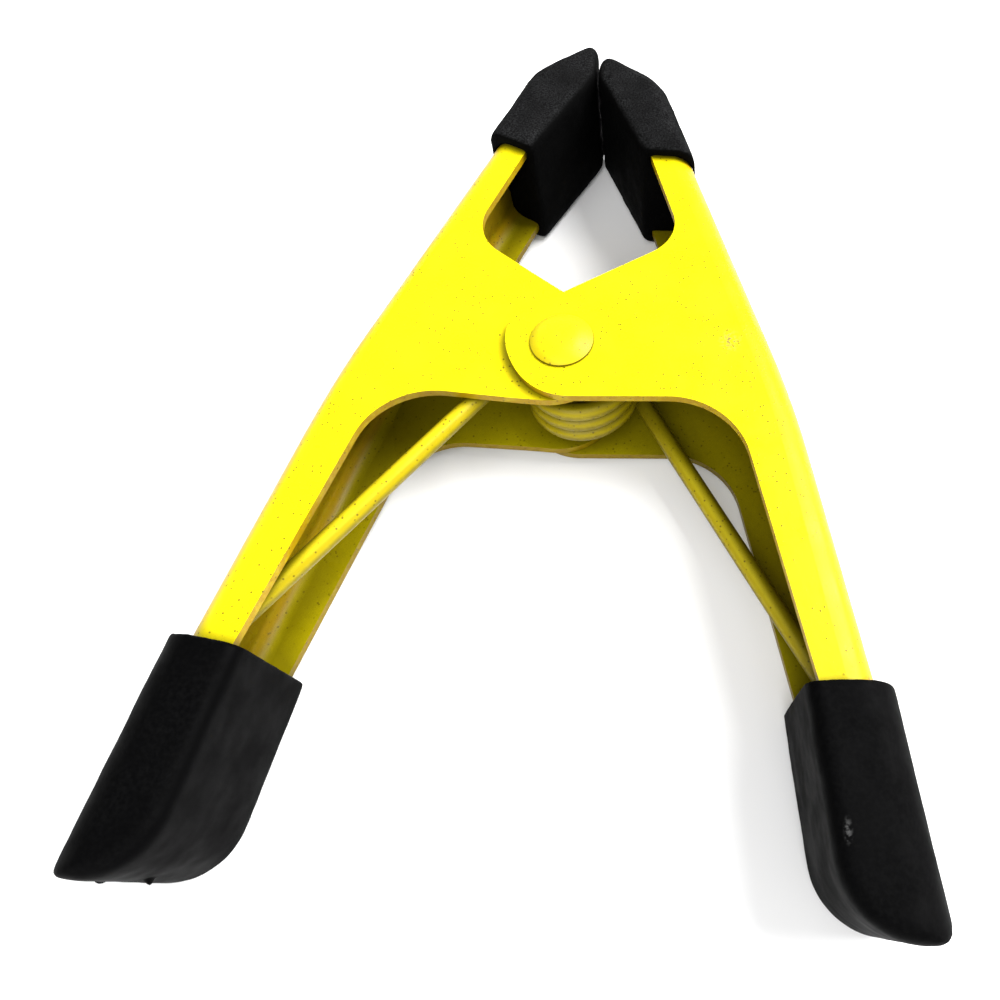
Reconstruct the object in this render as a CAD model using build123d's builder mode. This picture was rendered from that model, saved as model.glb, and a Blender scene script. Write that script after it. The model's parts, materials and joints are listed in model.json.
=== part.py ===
from build123d import *
from math import asin, atan2, cos, degrees, hypot, radians, sin
import os

os.makedirs("parts", exist_ok=True)

# Spring clamp of the A type, lying flat on its back: X across, Y towards the jaws, Z up.
# All outline points below are measured from the pivot axis.  Lengths in mm.

# Where the pivot sits in the shared frame
pivot_y = 5.087
mid_z = 12.3

# Pressed steel levers: U channels, back of the U outwards
sheet = 1.5
half_width = 10.3
inner_half_width = 10.0
bend_radius = 4.5
handle_end = (55.6, -83.0)
elbow = (38.8, -8.0)
elbow_radius = 180.0
outer_nose_corner = (13.8, 63.4)
outer_nose_end = (2.4, 68.0)
inner_nose_corner = (13.0, 65.6)
inner_nose_end = (2.4, 71.6)
nose_radius = 12.0
nose_slant = (2.4, 64.3)

# Free edges of the side plates
grip_edge_end = (49.0, -83.0)
grip_edge_cut = (44.6, -78.5)
grip_edge_top = (40.75, -54.5)
crotch = (28.7, -9.75)
crotch_radius = 13.0
ear_low = (2.5, -10.9)
ear_end = [(-4.0, -9.15), (-7.9, -4.8), (-9.65, 0.3)]
ear_high = (-6.6, 6.7)
window_corner = (19.2, 23.6)
window_radius = 8.0
jaw_edge_top = (6.3, 62.1)

# Pressed-in ears of the inner lever, which sit between the ears of the outer one
ear_gap = 0.1
ear_flat_radius = 12.3
ear_flare_radius = 34.0

# Rivet
rivet_radius = 2.5
rivet_head_radius = 5.3
rivet_head_height = 1.7
rivet_tail_radius = 4.3
rivet_tail_height = 1.1
outer_hole_radius = 2.52
inner_hole_radius = 2.56

# Torsion spring
wire = 3.2
coil_radius = 8.6
coil_centre = (2.7, -0.9)
coil_turns = 3
coil_pitch = 3.3
inner_leg_end = (-45.3, -52.4)
outer_leg_end = (45.3, -52.3)

# Rubber parts
fit_gap = 0.05
sleeve_half_width = 12.3
sleeve_mouth_inner = (38.7, -54.9)
sleeve_foot_inner = (43.2, -85.7)
sleeve_foot_round = 10.0
outer_sleeve_mouth = (51.6, -54.0)
outer_sleeve_foot = (56.69, -84.5)
inner_sleeve_mouth = (51.6, -53.2)
inner_sleeve_foot = (56.7, -85.2)
sleeve_back_rim = 6.2
cap_half_width = 12.3
cap_mouth_inner = (10.5, 43.8)
cap_grip_start = (0.15, 65.3)
cap_back_rim = 3.6
cap_nose_radius = 13.0
cap_grip_rim = 1.8
cap_tip_radius = 3.0
outer_cap_mouth_outer = (24.0, 43.4)
outer_cap_corner = (13.6, 65.0)
outer_cap_tip = (2.9, 72.4)
outer_cap_top = 71.6
inner_cap_mouth_outer = (24.0, 50.2)
inner_cap_corner = (13.5, 67.6)
inner_cap_tip = (2.9, 75.8)
inner_cap_top = 75.2

base = Plane(origin=(0, pivot_y, mid_z))


def on_side(points, side):
    """The same outline on the right (+1) or mirrored to the left (-1)."""
    return [(side * x, y) for x, y in points]


def nearest(vertices, point):
    """The corner of an outline closest to a given point."""
    return min(vertices, key=lambda v: hypot(v.X - point[0], v.Y - point[1]))


def back_of_channel(side, nose_corner, nose_end, grow, nose_round):
    """Everything inside the outer curve of one lever, grown or shrunk by a thickness."""
    run_x = nose_end[0] - nose_corner[0]
    run_y = nose_end[1] - nose_corner[1]
    far_nose = (nose_corner[0] + 4 * run_x, nose_corner[1] + 4 * run_y)
    slope = (handle_end[0] - elbow[0]) / (handle_end[1] - elbow[1])
    far_handle = (elbow[0] + slope * -100, elbow[1] - 100)
    corners = [far_handle, elbow, nose_corner, far_nose, (far_nose[0] - 40, -108)]
    with BuildSketch(base) as shape:
        Polygon(*on_side(corners, side), align=None)
        fillet(nearest(shape.vertices(), on_side([elbow], side)[0]), radius=elbow_radius)
        fillet(nearest(shape.vertices(), on_side([nose_corner], side)[0]), radius=nose_round)
        if grow != 0:
            offset(amount=grow, kind=Kind.INTERSECTION)
    return shape.sketch


def rounded_block(side, nose_corner, nose_end, grow, reach, radius, nose_round=nose_radius):
    """The filled channel with its two long bends rounded."""
    with BuildPart() as block:
        add(back_of_channel(side, nose_corner, nose_end, grow, nose_round))
        extrude(amount=reach, both=True)
        rims = [e for e in block.edges() if abs(abs(e.center().Z - mid_z) - reach) < 0.01]
        back_rims = [e for e in rims if e.center().Y > -80 and side * e.center().X > -15]
        fillet(back_rims, radius=radius)
    return block.part


def side_plate(side, nose_end):
    """Free-edge outline of the side plates: grip, crotch, ear, window and jaw."""
    lower = [(60, -83), handle_end, grip_edge_end, grip_edge_cut, grip_edge_top, crotch, ear_low]
    upper = [ear_high, window_corner, jaw_edge_top, nose_slant, (nose_end[0], 80), (60, 80), (60, -83)]
    ear = [ear_low] + ear_end + [ear_high]
    start = (side * -1.0, -0.04)
    finish = (side * 0.83, 0.55)
    with BuildSketch(base) as plate:
        with BuildLine():
            Polyline(*on_side(lower, side))
            Spline(*on_side(ear, side), tangents=[start, finish])
            Polyline(*on_side(upper, side))
        make_face()
        fillet(nearest(plate.vertices(), on_side([crotch], side)[0]), radius=crotch_radius)
        fillet(nearest(plate.vertices(), on_side([window_corner], side)[0]), radius=window_radius)
    return plate.sketch


def ear_press(face_height, full_height):
    """Rings above and below the pivot that press the inner lever's ears together."""
    section = [
        (0, face_height),
        (ear_flat_radius, face_height),
        (ear_flare_radius, full_height),
        (ear_flare_radius + 0.5, 20),
        (0, 20),
    ]
    with BuildPart() as rings:
        with BuildSketch(Plane.XZ.offset(-pivot_y)):
            with Locations((0, mid_z)):
                Polygon(*section, align=None)
        revolve(axis=Axis((0, pivot_y, 0), (0, 0, 1)))
        mirror(about=base)
    return rings.part


# Outer lever: right handle and right jaw, its ears lie outside
inner_bend = bend_radius - sheet
outer_cavity = rounded_block(
    1, outer_nose_corner, outer_nose_end, -sheet, half_width - sheet, inner_bend
)
outer_filled = rounded_block(1, outer_nose_corner, outer_nose_end, 0, half_width, bend_radius)
with BuildPart() as outer_lever:
    add(outer_filled)
    add(outer_cavity, mode=Mode.SUBTRACT)
    add(side_plate(1, outer_nose_end))
    extrude(amount=30, both=True, mode=Mode.INTERSECT)
    with BuildSketch(base):
        Circle(outer_hole_radius)
    extrude(amount=30, both=True, mode=Mode.SUBTRACT)
outer_lever.part.label = "outer_lever"
export_step(outer_lever.part, "parts/outer_lever.step")

# Inner lever: left handle and left jaw, its ears are pressed in to fit between the others
ear_face = half_width - sheet - ear_gap
inner_cavity = rounded_block(
    -1, inner_nose_corner, inner_nose_end, -sheet, inner_half_width - sheet, inner_bend
)
inner_filled = rounded_block(
    -1, inner_nose_corner, inner_nose_end, 0, inner_half_width, bend_radius
)
with BuildPart() as inner_hollow:
    add(inner_cavity)
    add(ear_press(ear_face - sheet, inner_half_width - sheet), mode=Mode.SUBTRACT)
with BuildPart() as inner_lever:
    add(inner_filled)
    add(ear_press(ear_face, inner_half_width), mode=Mode.SUBTRACT)
    add(inner_hollow.part, mode=Mode.SUBTRACT)
    add(side_plate(-1, inner_nose_end))
    extrude(amount=30, both=True, mode=Mode.INTERSECT)
    with BuildSketch(base):
        Circle(inner_hole_radius)
    extrude(amount=30, both=True, mode=Mode.SUBTRACT)
inner_lever.part.label = "inner_lever"
export_step(inner_lever.part, "parts/inner_lever.step")

# Rivet through all four ears: domed head in front, flat upset tail behind
head_seat = mid_z + half_width
tail_seat = mid_z - half_width
head_rim = (rivet_head_radius, head_seat + 0.4)
head_shoulder = (rivet_head_radius * 0.62, head_seat + rivet_head_height * 0.8)
head_top = (0, head_seat + rivet_head_height)
with BuildPart() as pivot_rivet:
    with BuildSketch(Plane.XZ.offset(-pivot_y)) as rivet_half:
        with BuildLine():
            ThreePointArc(head_top, head_shoulder, head_rim)
            Polyline(
                head_rim,
                (rivet_head_radius, head_seat),
                (rivet_radius, head_seat),
                (rivet_radius, tail_seat),
                (rivet_tail_radius, tail_seat),
                (rivet_tail_radius, tail_seat - rivet_tail_height),
                (0, tail_seat - rivet_tail_height),
                head_top,
            )
        make_face()
        fillet(
            nearest(rivet_half.vertices(), (rivet_tail_radius, tail_seat - rivet_tail_height)),
            radius=0.6,
        )
    revolve(axis=Axis((0, pivot_y, 0), (0, 0, 1)))
pivot_rivet.part.label = "pivot_rivet"
export_step(pivot_rivet.part, "parts/pivot_rivet.step")


def leg_tangent(end, turn_side):
    """Angle on the coil where a straight leg to the given end leaves it."""
    dx = end[0] - coil_centre[0]
    dy = end[1] - coil_centre[1]
    lean = degrees(asin(coil_radius / hypot(dx, dy)))
    heading = degrees(atan2(dy, dx)) + turn_side * lean
    return heading - turn_side * 90


# Torsion spring: close-wound coil round the rivet, one leg down inside each handle
inner_angle = leg_tangent(inner_leg_end, 1) % 360
outer_angle = leg_tangent(outer_leg_end, -1)
sweep_angle = inner_angle - outer_angle + 360 * coil_turns
coil_height = coil_pitch * sweep_angle / 360
coil_top = mid_z + coil_height / 2
coil_low = mid_z - coil_height / 2


def coil_point(angle, height):
    """A point on the centre line of the coil."""
    x = coil_centre[0] + coil_radius * cos(radians(angle))
    y = pivot_y + coil_centre[1] + coil_radius * sin(radians(angle))
    return Vector(x, y, height)


coil_axis_foot = Plane(
    origin=(coil_centre[0], pivot_y + coil_centre[1], coil_low),
    x_dir=(cos(radians(outer_angle)), sin(radians(outer_angle)), 0),
    z_dir=(0, 0, 1),
)
with BuildPart() as torsion_spring:
    with BuildLine(coil_axis_foot) as coil_line:
        Helix(pitch=coil_pitch, height=coil_height, radius=coil_radius)
    with BuildSketch(Plane(origin=coil_line.line @ 0, z_dir=coil_line.line % 0)):
        Circle(wire / 2)
    sweep(path=coil_line.line, is_frenet=True)
    for angle, height, end in (
        (inner_angle, coil_top, inner_leg_end),
        (outer_angle, coil_low, outer_leg_end),
    ):
        leave = coil_point(angle, height)
        arrive = Vector(end[0], pivot_y + end[1], height)
        with BuildSketch(Plane(origin=leave, z_dir=(arrive - leave).normalized())):
            Circle(wire / 2)
        extrude(amount=(arrive - leave).length)
        with Locations(leave):
            Sphere(wire / 2)
torsion_spring.part.label = "torsion_spring"
export_step(torsion_spring.part, "parts/torsion_spring.step")


def channel_space(region, side, nose_corner, nose_end, reach):
    """The space a length of steel channel takes up, hollow included, with a little to spare."""
    with BuildPart() as space:
        add(
            rounded_block(
                side, nose_corner, nose_end, fit_gap, reach + fit_gap, bend_radius + fit_gap
            )
        )
        with BuildSketch(base):
            Polygon(*on_side(region, side), align=None)
        extrude(amount=30, both=True, mode=Mode.INTERSECT)
    return space.part


# Handle sleeves: tubes closed at the foot
grip_region = [
    (grip_edge_top[0] - fit_gap - 1.2, -50.0),
    (grip_edge_top[0] - fit_gap, grip_edge_top[1]),
    (grip_edge_cut[0] - fit_gap, grip_edge_cut[1] - fit_gap),
    (grip_edge_end[0] - fit_gap, grip_edge_end[1] - fit_gap),
    (80, grip_edge_end[1] - fit_gap),
    (80, -50.0),
]


def sleeve_block(side, mouth_outer, foot_outer):
    """Sleeve before it is hollowed: broad rounding along the back, small ones elsewhere."""
    outline = [mouth_outer, sleeve_mouth_inner, sleeve_foot_inner, foot_outer]
    slope = (foot_outer[0] - mouth_outer[0]) / (foot_outer[1] - mouth_outer[1])
    above = (mouth_outer[0] + slope * 20, mouth_outer[1] + 20)
    below = (foot_outer[0] - slope * 20, foot_outer[1] - 20)
    back_x = side * (above[0] + below[0]) / 2
    mouth_y = pivot_y + (mouth_outer[1] + sleeve_mouth_inner[1]) / 2
    with BuildPart() as rounded_back:
        with BuildSketch(base):
            Polygon(*on_side([above, (0, above[1]), (0, below[1]), below], side), align=None)
        extrude(amount=sleeve_half_width, both=True)
        long_edges = [e for e in rounded_back.edges() if abs(e.center().X - back_x) < 1]
        fillet([e for e in long_edges if abs(e.center().Z - mid_z) > 1], radius=sleeve_back_rim)
    with BuildPart() as block:
        with BuildSketch(base) as face:
            Polygon(*on_side(outline, side), align=None)
            fillet(
                nearest(face.vertices(), on_side([sleeve_foot_inner], side)[0]),
                radius=sleeve_foot_round,
            )
            fillet(nearest(face.vertices(), on_side([foot_outer], side)[0]), radius=3.0)
        extrude(amount=sleeve_half_width, both=True)
        flat = [e for e in block.edges() if abs(abs(e.center().Z - mid_z) - sleeve_half_width) < 0.01]
        fillet([e for e in flat if abs(e.center().Y - mouth_y) > 1.5], radius=2.2)
        add(rounded_back.part, mode=Mode.INTERSECT)
    return block.part


with BuildPart() as outer_handle_sleeve:
    add(sleeve_block(1, outer_sleeve_mouth, outer_sleeve_foot))
    add(
        channel_space(grip_region, 1, outer_nose_corner, outer_nose_end, half_width),
        mode=Mode.SUBTRACT,
    )
outer_handle_sleeve.part.label = "outer_handle_sleeve"
export_step(outer_handle_sleeve.part, "parts/outer_handle_sleeve.step")

with BuildPart() as inner_handle_sleeve:
    add(sleeve_block(-1, inner_sleeve_mouth, inner_sleeve_foot))
    add(
        channel_space(grip_region, -1, inner_nose_corner, inner_nose_end, inner_half_width),
        mode=Mode.SUBTRACT,
    )
inner_handle_sleeve.part.label = "inner_handle_sleeve"
export_step(inner_handle_sleeve.part, "parts/inner_handle_sleeve.step")

# Jaw caps: boots with a solid core that fills the channel of the jaw
jaw_region = [
    (13.7 - fit_gap, 40.0),
    (jaw_edge_top[0] - fit_gap, jaw_edge_top[1]),
    (nose_slant[0] - fit_gap, nose_slant[1]),
    (nose_slant[0] - fit_gap, 90),
    (60, 90),
    (60, 40.0),
]


def cap_block(side, mouth_outer, corner, tip, top_y):
    """Cap before the slot for the steel is taken out."""
    top_corner = (cap_grip_start[0], top_y)
    region = [mouth_outer, (40, top_y), top_corner, cap_grip_start, cap_mouth_inner]
    with BuildPart() as block:
        with BuildSketch(base) as face:
            Polygon(*on_side(region, side), align=None)
            fillet(nearest(face.vertices(), on_side([top_corner], side)[0]), radius=cap_tip_radius)
        extrude(amount=cap_half_width, both=True)
        flat = [e for e in block.edges() if abs(abs(e.center().Z - mid_z) - cap_half_width) < 0.01]
        mouth_y = pivot_y + (mouth_outer[1] + cap_mouth_inner[1]) / 2
        fillet(
            [e for e in flat if side * e.center().X < 30 and abs(e.center().Y - mouth_y) > 1],
            radius=cap_grip_rim,
        )
        add(
            rounded_block(side, corner, tip, 0, cap_half_width, cap_back_rim, cap_nose_radius),
            mode=Mode.INTERSECT,
        )
    return block.part


def slot_space(side, nose_corner, nose_end, reach):
    """The space the bent steel alone takes up inside a cap."""
    core_reach = reach - sheet - fit_gap
    with BuildPart() as space:
        add(channel_space(jaw_region, side, nose_corner, nose_end, reach))
        add(
            rounded_block(
                side, nose_corner, nose_end, -sheet - fit_gap, core_reach, inner_bend - fit_gap
            ),
            mode=Mode.SUBTRACT,
        )
    return space.part


with BuildPart() as outer_jaw_cap:
    add(cap_block(1, outer_cap_mouth_outer, outer_cap_corner, outer_cap_tip, outer_cap_top))
    add(slot_space(1, outer_nose_corner, outer_nose_end, half_width), mode=Mode.SUBTRACT)
outer_jaw_cap.part.label = "outer_jaw_cap"
export_step(outer_jaw_cap.part, "parts/outer_jaw_cap.step")

with BuildPart() as inner_jaw_cap:
    add(cap_block(-1, inner_cap_mouth_outer, inner_cap_corner, inner_cap_tip, inner_cap_top))
    add(slot_space(-1, inner_nose_corner, inner_nose_end, inner_half_width), mode=Mode.SUBTRACT)
inner_jaw_cap.part.label = "inner_jaw_cap"
export_step(inner_jaw_cap.part, "parts/inner_jaw_cap.step")
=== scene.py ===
import json
import math

import bmesh
import bpy
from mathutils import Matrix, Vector, noise


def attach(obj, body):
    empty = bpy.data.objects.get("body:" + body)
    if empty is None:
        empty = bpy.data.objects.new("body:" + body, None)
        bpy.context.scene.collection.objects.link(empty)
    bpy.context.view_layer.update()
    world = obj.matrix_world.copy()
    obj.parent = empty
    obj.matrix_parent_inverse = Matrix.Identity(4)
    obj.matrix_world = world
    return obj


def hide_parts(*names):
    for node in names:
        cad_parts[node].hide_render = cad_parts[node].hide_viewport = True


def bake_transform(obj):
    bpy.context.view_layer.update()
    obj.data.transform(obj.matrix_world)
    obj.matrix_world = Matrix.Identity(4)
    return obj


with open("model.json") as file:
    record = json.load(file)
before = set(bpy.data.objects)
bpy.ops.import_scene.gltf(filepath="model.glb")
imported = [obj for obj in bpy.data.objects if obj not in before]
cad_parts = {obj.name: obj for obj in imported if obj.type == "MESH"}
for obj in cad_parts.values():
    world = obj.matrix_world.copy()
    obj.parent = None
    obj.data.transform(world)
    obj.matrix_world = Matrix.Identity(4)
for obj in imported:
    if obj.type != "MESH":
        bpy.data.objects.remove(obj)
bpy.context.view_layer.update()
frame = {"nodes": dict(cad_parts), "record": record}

MM = 0.001
joint = frame["record"]["behaviour"]["joints"][0]
PIVOT = Vector(joint["pos_m"])


# Paint, dirt, and painted light and shade
# These two colours are painted light and shade of one enamel: lemon where faces point up, amber on
# the bends.
LEMON_LIT_FACE = (0.66, 0.56, 0.003)
AMBER_SHADED_BEND = (0.58, 0.35, 0.003)
# painted shade on the rivet head's rim, darker than its lit top
RIVET_RIM_SHADE = (0.40, 0.30, 0.003)
# painted light and shade of one spring enamel: lighter on the top of the wire, darker on its sides
WIRE_TOP_LIT = (0.50, 0.41, 0.006)
WIRE_SIDE_SHADE = (0.36, 0.28, 0.004)
SPECK_COLOUR = (0.09, 0.06, 0.004)
SCUFF_COLOUR = (0.20, 0.15, 0.05)
# painted shade in recesses, olive-brown
RECESS_SHADE_COLOUR = (0.075, 0.058, 0.0008)
SPECK_CELL = 0.95  # mm
# reach of the painted recess shade
RECESS_SHADE_REACH = 22  # mm
# painted shade on upright faces: the bend colour scaled down by this factor
UPRIGHT_PAINTED_SHADE = 0.42
CLOUD_SHADE = 0.8

# Rubber
# the light colours show only where faces point up: partly grain and mottle, partly painted light
SLEEVE_DARK = (0.0004, 0.0004, 0.0005)
SLEEVE_LIGHT = (0.0018, 0.0018, 0.0019)
CAP_DARK = (0.0003, 0.0003, 0.0003)
CAP_LIGHT = (0.019, 0.0195, 0.020)
MARK_COLOUR = (0.05, 0.05, 0.05)
RUBBER_IOR = 1.1
SKIN_VOXEL = 0.4  # mm
SLEEVE_WAVE = 0.12  # mm
CAP_WAVE = 0.22  # mm
SLEEVE_SMOOTHING = 8
CAP_SMOOTHING = 28
NUB_DEPTH = 1.2  # mm


def at(x, y, z=0.0):
    """A point given in millimetres from the middle of the pivot."""
    return PIVOT + Vector((x, y, z)) * MM


# ---------------------------------------------------------------- node helpers
def new_material(name):
    mat = bpy.data.materials.new(name)
    mat.use_nodes = True
    tree = mat.node_tree
    tree.nodes.clear()
    out = tree.nodes.new("ShaderNodeOutputMaterial")
    bsdf = tree.nodes.new("ShaderNodeBsdfPrincipled")
    tree.links.new(bsdf.outputs["BSDF"], out.inputs["Surface"])
    coords = tree.nodes.new("ShaderNodeTexCoord")
    return mat, tree, bsdf, coords.outputs["Object"]


def noise_field(tree, coords, cell_mm, detail=3.0, roughness=0.55):
    node = tree.nodes.new("ShaderNodeTexNoise")
    node.inputs["Scale"].default_value = 1.0 / (cell_mm * MM)
    node.inputs["Detail"].default_value = detail
    node.inputs["Roughness"].default_value = roughness
    tree.links.new(coords, node.inputs["Vector"])
    return node.outputs["Fac"]


def remap(tree, value, low, high, to_low=0.0, to_high=1.0):
    node = tree.nodes.new("ShaderNodeMapRange")
    node.interpolation_type = "SMOOTHSTEP"
    node.inputs["From Min"].default_value = low
    node.inputs["From Max"].default_value = high
    node.inputs["To Min"].default_value = to_low
    node.inputs["To Max"].default_value = to_high
    tree.links.new(value, node.inputs["Value"])
    return node.outputs["Result"]


def combine(tree, operation, a, b):
    node = tree.nodes.new("ShaderNodeMath")
    node.operation = operation
    for socket, value in zip(node.inputs, (a, b)):
        if isinstance(value, (int, float)):
            socket.default_value = value
        else:
            tree.links.new(value, socket)
    return node.outputs["Value"]


def blend_colours(tree, factor, a, b):
    node = tree.nodes.new("ShaderNodeMix")
    node.data_type = "RGBA"
    tree.links.new(factor, node.inputs["Factor"])
    for socket, value in ((node.inputs[6], a), (node.inputs[7], b)):
        if isinstance(value, tuple):
            socket.default_value = (*value, 1)
        else:
            tree.links.new(value, socket)
    return node.outputs[2]


def bump(tree, height, distance_mm, strength, below=None):
    node = tree.nodes.new("ShaderNodeBump")
    node.inputs["Strength"].default_value = strength
    node.inputs["Distance"].default_value = distance_mm * MM
    tree.links.new(height, node.inputs["Height"])
    if below is not None:
        tree.links.new(below, node.inputs["Normal"])
    return node.outputs["Normal"]


def near_point(tree, coords, point, radius_mm, stretch=(1, 1, 1)):
    """1 at a point of the piece, fading to 0 at the given distance."""
    shift = tree.nodes.new("ShaderNodeMapping")
    shift.vector_type = "POINT"
    shift.inputs["Location"].default_value = [-p * s for p, s in zip(point, stretch)]
    shift.inputs["Scale"].default_value = stretch
    tree.links.new(coords, shift.inputs["Vector"])
    length = tree.nodes.new("ShaderNodeVectorMath")
    length.operation = "LENGTH"
    tree.links.new(shift.outputs["Vector"], length.inputs[0])
    return remap(tree, length.outputs["Value"], 0.0, radius_mm * MM, 1.0, 0.0)


def use_material(obj, mat):
    if not obj.material_slots:
        obj.data.materials.append(mat)
    for slot in obj.material_slots:
        slot.material = mat


# ---------------------------------------------------------------- materials
def enamel(name, lit_face_colour, shaded_bend_colour, peel, shine, scuffs=()):
    """Sprayed enamel with painted light and shade: a lit colour on faces that point up, a shaded
    colour on bends, darker upright faces and recesses; also orange peel, dirt specks, rubbed spots.
    """
    mat, tree, bsdf, coords = new_material(name)
    geometry = tree.nodes.new("ShaderNodeNewGeometry")
    axes = tree.nodes.new("ShaderNodeSeparateXYZ")
    tree.links.new(geometry.outputs["Normal"], axes.inputs["Vector"])
    flatness = combine(tree, "ABSOLUTE", axes.outputs["Z"], 0.0)
    drift = remap(tree, noise_field(tree, coords, 14), 0.3, 0.7, -0.03, 0.03)
    # painted light and shade: faces that point up take the lit colour, bends and sides take the
    # shaded one
    top_lit_mask = remap(tree, combine(tree, "ADD", flatness, drift), 0.72, 0.99)
    colour = blend_colours(tree, top_lit_mask, shaded_bend_colour, lit_face_colour)
    # painted shade: upright faces darkened further, as if they got less light
    upright_painted_shade = remap(tree, flatness, 0.12, 0.55, 0.75, 0.0)
    colour = blend_colours(tree, upright_painted_shade, colour, tuple(c * UPRIGHT_PAINTED_SHADE for c in shaded_bend_colour))
    cloud = remap(tree, noise_field(tree, coords, 1.6, 4), 0.4, 0.75, 0.0, 0.35)
    colour = blend_colours(tree, cloud, colour, tuple(c * CLOUD_SHADE for c in lit_face_colour))
    cells = tree.nodes.new("ShaderNodeTexVoronoi")
    cells.inputs["Scale"].default_value = 1.0 / (SPECK_CELL * MM)
    tree.links.new(coords, cells.inputs["Vector"])
    gaps = remap(tree, noise_field(tree, coords, 2.4, 2), 0.36, 0.52)
    specks = remap(tree, cells.outputs["Distance"], 0.10, 0.24, 1.0, 0.0)
    specks = combine(tree, "MULTIPLY", specks, gaps)
    specks = combine(tree, "MULTIPLY", specks, 0.85)
    colour = blend_colours(tree, specks, colour, SPECK_COLOUR)
    for point, radius, stretch in scuffs:
        spot = near_point(tree, coords, point, radius, stretch)
        broken = remap(tree, noise_field(tree, coords, 0.5, 4), 0.45, 0.6)
        spot = combine(tree, "MULTIPLY", spot, broken)
        colour = blend_colours(tree, spot, colour, SCUFF_COLOUR)
    # painted shade: recesses and corners darkened from an ambient-occlusion mask
    occlusion = tree.nodes.new("ShaderNodeAmbientOcclusion")
    occlusion.samples = 8
    occlusion.inputs["Distance"].default_value = RECESS_SHADE_REACH * MM
    recess_shade = remap(tree, occlusion.outputs["AO"], 0.35, 0.97, 0.88, 0.0)
    colour = blend_colours(tree, recess_shade, colour, RECESS_SHADE_COLOUR)
    tree.links.new(colour, bsdf.inputs["Base Color"])
    rough = remap(tree, noise_field(tree, coords, 7, 3), 0.3, 0.7, 0.26, 0.42)
    tree.links.new(rough, bsdf.inputs["Roughness"])
    bsdf.inputs["Specular IOR Level"].default_value = shine
    normal = bump(tree, noise_field(tree, coords, 1.1, 2, 0.4), 0.05, peel)
    normal = bump(tree, specks, 0.04, 0.5, normal)
    tree.links.new(normal, bsdf.inputs["Normal"])
    return mat


def rubber(name, dark, light, grain_mm, grain_strength, rough_range, marks=()):
    """Moulded rubber: mottled, fine grain, dull rubbed marks, and painted light on faces that point
    up.
    """
    mat, tree, bsdf, coords = new_material(name)
    grain = noise_field(tree, coords, grain_mm, 4, 0.7)
    mottle = noise_field(tree, coords, 6, 4)
    geometry = tree.nodes.new("ShaderNodeNewGeometry")
    axes = tree.nodes.new("ShaderNodeSeparateXYZ")
    tree.links.new(geometry.outputs["Normal"], axes.inputs["Vector"])
    flatness = combine(tree, "ABSOLUTE", axes.outputs["Z"], 0.0)
    # painted light and shade: faces that point up reach the light colour, faces turned sideways
    # stay near black
    upward_painted_light = remap(tree, flatness, 0.55, 0.95, 0.08, 1.0)
    fine = remap(tree, grain, 0.35, 0.7)
    patches = remap(tree, mottle, 0.25, 0.7, 0.4, 1.0)
    shade = combine(tree, "MULTIPLY", fine, patches)
    shade = combine(tree, "MULTIPLY", shade, upward_painted_light)
    colour = blend_colours(tree, shade, dark, light)
    for point, radius, stretch in marks:
        spot = near_point(tree, coords, point, radius, stretch)
        broken = remap(tree, noise_field(tree, coords, 0.6, 3), 0.42, 0.6)
        spot = combine(tree, "MULTIPLY", spot, broken)
        colour = blend_colours(tree, spot, colour, MARK_COLOUR)
    tree.links.new(colour, bsdf.inputs["Base Color"])
    rough = remap(tree, mottle, 0.3, 0.7, *rough_range)
    tree.links.new(rough, bsdf.inputs["Roughness"])
    bsdf.inputs["IOR"].default_value = RUBBER_IOR
    normal = bump(tree, grain, 0.06, grain_strength)
    normal = bump(tree, noise_field(tree, coords, 3.5, 3), 0.12, 0.07, normal)
    tree.links.new(normal, bsdf.inputs["Normal"])
    return mat


ear_rub = [(at(28.0, 1.2, 10.3), 2.4, (1, 0.8, 1))]
paint = enamel("lever_enamel", LEMON_LIT_FACE, AMBER_SHADED_BEND, 0.35, 0.1, ear_rub)
# rivet head: lemon top, with painted shade on the rim
rivet_paint = enamel("rivet_enamel", LEMON_LIT_FACE, RIVET_RIM_SHADE, 0.5, 0.15)
# spring wire: painted light on top, painted shade on the sides
wire_paint = enamel("spring_enamel", WIRE_TOP_LIT, WIRE_SIDE_SHADE, 0.5, 0.15)
sleeve_marks = [(at(43.3, -73.1, 12.3), 1.2, (1.7, 0.6, 1))]
sleeve_black = rubber(
    "sleeve_rubber", SLEEVE_DARK, SLEEVE_LIGHT, 0.7, 0.2, (0.55, 0.72), sleeve_marks
)
cap_black = rubber("cap_rubber", CAP_DARK, CAP_LIGHT, 0.3, 0.9, (0.7, 0.9))

for node in ("outer_lever", "inner_lever"):
    use_material(frame["nodes"][node], paint)
use_material(frame["nodes"]["pivot_rivet"], rivet_paint)


# ---------------------------------------------------------------- torsion spring
WIRE = 3.2
COIL_RADIUS = 8.6
COIL_CENTRE = (2.7, -0.9)
COIL_TURNS = 3
COIL_PITCH = 3.3
INNER_END = (-45.3, -52.4)
OUTER_END = (45.3, -52.3)


def leave_angle(end, turn_side):
    dx = end[0] - COIL_CENTRE[0]
    dy = end[1] - COIL_CENTRE[1]
    lean = math.asin(COIL_RADIUS / math.hypot(dx, dy))
    return math.atan2(dy, dx) + turn_side * lean - turn_side * math.pi / 2


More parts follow.
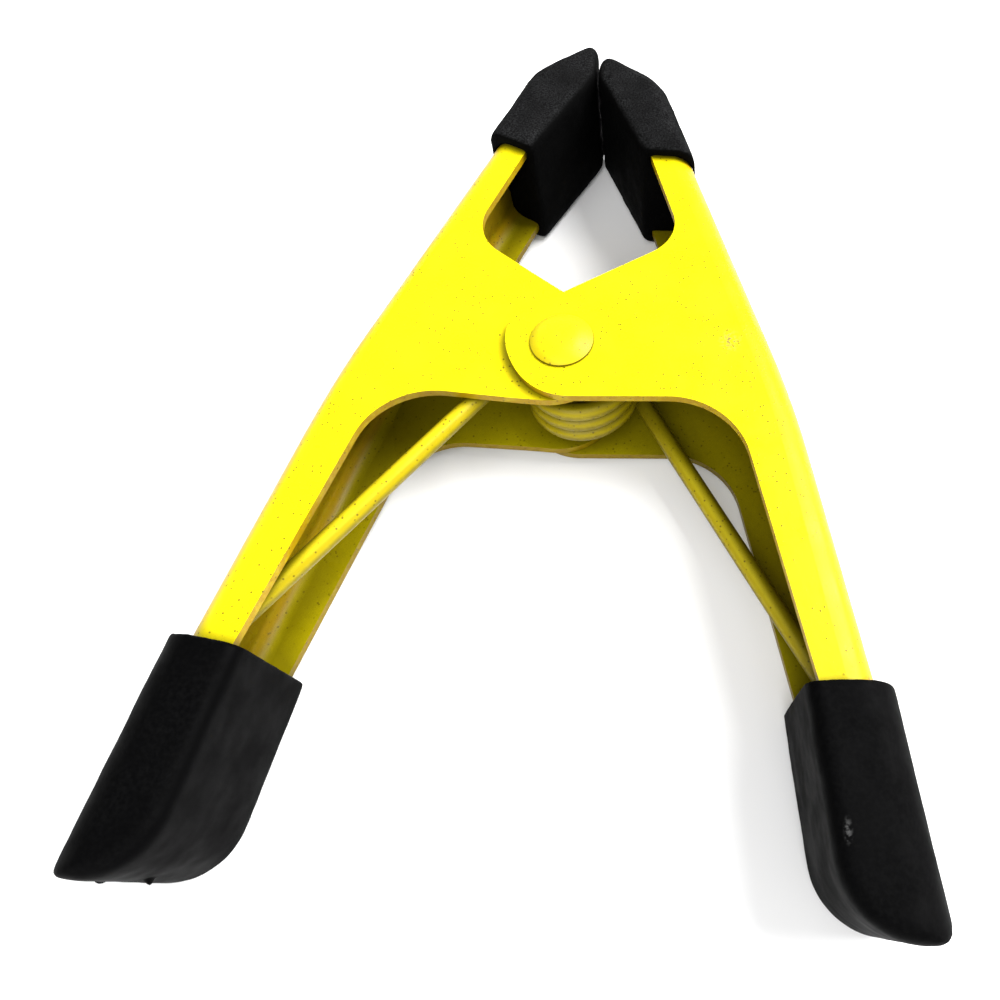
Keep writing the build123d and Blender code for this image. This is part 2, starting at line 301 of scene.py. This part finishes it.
def spring_path():
    """Centre line of the wire, from the foot of the outer leg to the foot of the inner one."""
    inner_angle = leave_angle(INNER_END, 1) % (2 * math.pi)
    outer_angle = leave_angle(OUTER_END, -1)
    sweep = inner_angle - outer_angle + 2 * math.pi * COIL_TURNS
    height = COIL_PITCH * sweep / (2 * math.pi)
    coil = []
    steps = 220
    for i in range(steps + 1):
        angle = outer_angle + sweep * i / steps
        x = COIL_CENTRE[0] + COIL_RADIUS * math.cos(angle)
        y = COIL_CENTRE[1] + COIL_RADIUS * math.sin(angle)
        coil.append(Vector((x, y, -height / 2 + height * i / steps)))
    legs = []
    for end, foot in ((OUTER_END, coil[0]), (INNER_END, coil[-1])):
        tip = Vector((end[0], end[1], foot.z))
        legs.append([foot.lerp(tip, k / 40) for k in range(1, 41)])
    return legs[0][::-1] + coil + legs[1]


def wire_mesh(name, path, radius, sides=20):
    """A round wire along a path, with rounded ends and a faintly uneven paint film."""
    verts = []
    faces = []
    count = len(path)
    for i, point in enumerate(path):
        ahead = path[min(i + 1, count - 1)]
        behind = path[max(i - 1, 0)]
        along = (ahead - behind).normalized()
        across = along.cross(Vector((0, 0, 1))).normalized()
        up = across.cross(along)
        size = radius * {0: 0.55, 1: 0.97}.get(min(i, count - 1 - i), 1.0)
        for j in range(sides):
            turn = 2 * math.pi * j / sides
            film = 1 + 0.012 * noise.noise(point * 0.35 + Vector((j * 0.5, 0, 0)))
            offset = (across * math.cos(turn) + up * math.sin(turn)) * size * min(film, 1.0)
            verts.append(PIVOT + (point + offset) * MM)
    for i in range(count - 1):
        for j in range(sides):
            k = (j + 1) % sides
            ring, after = i * sides, (i + 1) * sides
            faces.append((ring + j, ring + k, after + k, after + j))
    faces.append(tuple(range(sides))[::-1])
    faces.append(tuple((count - 1) * sides + j for j in range(sides)))
    mesh = bpy.data.meshes.new(name)
    mesh.from_pydata([tuple(v) for v in verts], [], faces)
    mesh.shade_smooth()
    obj = bpy.data.objects.new(name, mesh)
    bpy.context.collection.objects.link(obj)
    return obj


spring = wire_mesh("spring_wire", spring_path(), WIRE / 2)
bpy.context.view_layer.update()
use_material(spring, wire_paint)
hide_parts("torsion_spring")
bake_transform(spring)


# ---------------------------------------------------------------- rubber parts
def moulded(node, name, mat, body, unevenness, softness, nubs=()):
    """Rubber skin over a moulded part: softened edges, a slightly wavy surface, mould flash.

    A wall thinner than SKIN_VOXEL tears. The outer wall of outer_jaw_cap is, and steel shows there.
    """
    source = frame["nodes"][node]
    work = bmesh.new()
    work.from_mesh(source.data)
    work.transform(source.matrix_world)
    bmesh.ops.remove_doubles(work, verts=work.verts, dist=1e-6)
    mesh = bpy.data.meshes.new(name)
    work.to_mesh(mesh)
    work.free()
    obj = bpy.data.objects.new(name, mesh)
    bpy.context.collection.objects.link(obj)
    remesh = obj.modifiers.new("skin", "REMESH")
    remesh.mode = "VOXEL"
    remesh.voxel_size = SKIN_VOXEL * MM
    soften = obj.modifiers.new("soften", "SMOOTH")
    soften.factor = 0.5
    soften.iterations = softness
    shown = obj.evaluated_get(bpy.context.evaluated_depsgraph_get())
    skin = bpy.data.meshes.new_from_object(shown)
    obj.modifiers.clear()
    obj.data = skin
    normals = [v.normal.copy() for v in skin.vertices]
    for vertex, normal in zip(skin.vertices, normals):
        place = (vertex.co - PIVOT) / MM
        wave = noise.noise(place * 0.16) * 0.6 + noise.noise(place * 0.45) * 0.4
        shift = unevenness * wave
        for x, y, z, width, height in nubs:
            away = math.dist((place.x, place.z), (x, z)) / width
            if abs(place.y - y) < NUB_DEPTH and normal.y < -0.3 and away < 1:
                shift += height * (1 - away * away) ** 1.5
        vertex.co += normal * shift * MM
    skin.shade_smooth()
    use_material(obj, mat)
    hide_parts(node)
    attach(obj, body)


# Flash nubs: x, y, z of each, width and height
flash = [(-55.0, -85.2, 0.0, 1.2, 1.2), (-48.3, -85.4, 0.0, 0.7, 0.8)]
moulded(
    "outer_handle_sleeve", "outer_sleeve_skin", sleeve_black, "outer_half",
    SLEEVE_WAVE, SLEEVE_SMOOTHING,
)
moulded(
    "inner_handle_sleeve", "inner_sleeve_skin", sleeve_black, "inner_half",
    SLEEVE_WAVE, SLEEVE_SMOOTHING, flash,
)
moulded(
    "outer_jaw_cap", "outer_cap_skin", cap_black, "outer_half",
    CAP_WAVE, CAP_SMOOTHING,
)
moulded(
    "inner_jaw_cap", "inner_cap_skin", cap_black, "inner_half",
    CAP_WAVE, CAP_SMOOTHING,
)

# ---------------------------------------------------------------- floor and light
bpy.ops.mesh.primitive_plane_add(size=6.0, location=(0, 0, -0.0003))
floor = bpy.context.object
floor.name = "floor"
floor_mat, _, floor_bsdf, _ = new_material("pale_floor")
floor_bsdf.inputs["Base Color"].default_value = (0.93, 0.93, 0.93, 1)
floor_bsdf.inputs["Roughness"].default_value = 0.9
use_material(floor, floor_mat)


def soft_light(name, place, size, power):
    data = bpy.data.lights.new(name, "AREA")
    data.shape = "DISK"
    data.size = size
    data.energy = power
    lamp = bpy.data.objects.new(name, data)
    bpy.context.collection.objects.link(lamp)
    lamp.location = place
    lamp.rotation_euler = (-Vector(place)).to_track_quat("-Z", "Y").to_euler()


soft_light("key", (0.9, 0.45, 1.1), 1.2, 52)
soft_light("side", (0.85, 0.45, 0.38), 0.25, 3)
soft_light("fill", (-0.2, -0.95, 0.95), 1.2, 14)
world = bpy.data.worlds.new("studio")
world.use_nodes = True
world.node_tree.nodes["Background"].inputs[0].default_value = (1, 1, 1, 1)
world.node_tree.nodes["Background"].inputs[1].default_value = 0.62
bpy.context.scene.world = world

# ---------------------------------------------------------------- camera
camera_data = bpy.data.cameras.new("camera")
camera_data.lens = 28.8
camera_data.sensor_width = 36.0
camera_data.shift_x = -0.1305
camera_data.shift_y = -0.0034
camera_data.clip_start = 0.01
camera_data.clip_end = 20
camera = bpy.data.objects.new("camera", camera_data)
bpy.context.collection.objects.link(camera)
camera.location = at(21.19, -81.77, 117.97)
camera.rotation_euler = tuple(math.radians(a) for a in (26.499, 2.026, 4.089))
bpy.context.scene.camera = camera
bpy.context.scene.view_settings.view_transform = "Standard"
